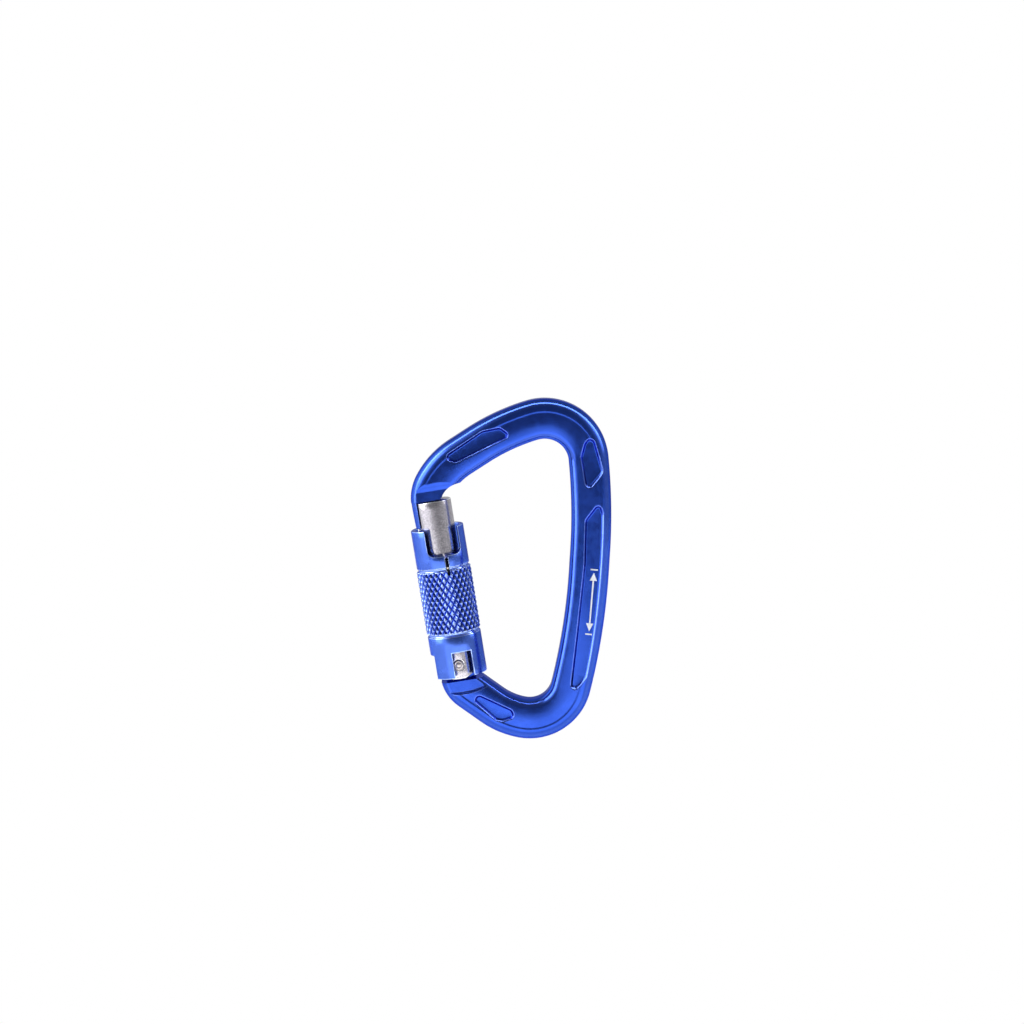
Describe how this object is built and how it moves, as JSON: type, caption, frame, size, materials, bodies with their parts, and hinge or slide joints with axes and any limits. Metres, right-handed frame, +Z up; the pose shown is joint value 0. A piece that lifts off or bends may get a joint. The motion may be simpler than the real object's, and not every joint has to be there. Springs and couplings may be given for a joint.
{
  "type": "locking carabiner",
  "caption": "Offset-D locking carabiner with forged bar, sprung gate, knurled auto-locking sleeve that lifts and twists, and recessed faces.",
  "frame": {"origin": "inner apex of the top basket, where the anchor or sling rests", "axes": "+Z points up along the carabiner from the hinge end to the top, -Y is the front face, +X points to the spine and the gate is on the -X side"},
  "size_m": [0.0594, 0.0162, 0.1017],
  "materials": {
    "blue_anodised": "polished and blue anodised",
    "blue_sleeve": "turned, knurled and blue anodised",
    "satin_gate": "bead-blasted, clear anodised",
    "rivet_steel": "bright stainless steel",
    "inner_steel": "turned steel",
    "spring_steel": "drawn spring wire",
    "bushing_brass": "turned brass"
  },
  "bodies": {
    "forged_body": {"body": "blue_anodised"},
    "gate_unit": {"gate": "satin_gate", "gate_rivet": "rivet_steel", "gate_spring": "spring_steel", "sleeve_spring": "spring_steel"},
    "plunger_unit": {"gate_plunger": "inner_steel"},
    "collar_unit": {"guide_collar": "inner_steel", "guide_pin": "rivet_steel"},
    "sleeve_unit": {"sleeve": "blue_sleeve", "sleeve_bushing": "bushing_brass"}
  },
  "joints": [
    {"name": "gate_hinge", "type": "hinge", "parent": "forged_body", "child": "gate_unit", "pos_m": [-0.0259, 0, -0.067], "axis": [0, 1, 0], "range_deg": [0, 24], "stiffness_Nm_per_rad": 0.25, "springref_deg": -28.65},
    {"name": "sleeve_twist", "type": "hinge", "parent": "gate_unit", "child": "collar_unit", "pos_m": [-0.0259, 0, -0.067], "axis": [-0.1564, 0, 0.9877], "range_deg": [-102, 0], "stiffness_Nm_per_rad": 0.02, "springref_deg": 28.65},
    {"name": "sleeve_lift", "type": "slide", "parent": "collar_unit", "child": "sleeve_unit", "axis": [-0.1564, 0, 0.9877], "range_m": [0, 0.002], "deforming": ["sleeve_spring"]},
    {"name": "plunger_slide", "type": "slide", "parent": "gate_unit", "child": "plunger_unit", "axis": [-0.1564, 0, 0.9877], "range_m": [0, 0.00084], "deforming": ["gate_spring"]}
  ],
  "couplings": [
    {"joint": "sleeve_lift", "follows": "gate_hinge", "m_per_rad": 0.0047746},
    {"joint": "plunger_slide", "follows": "gate_hinge", "m_per_rad": 0.002}
  ]
}
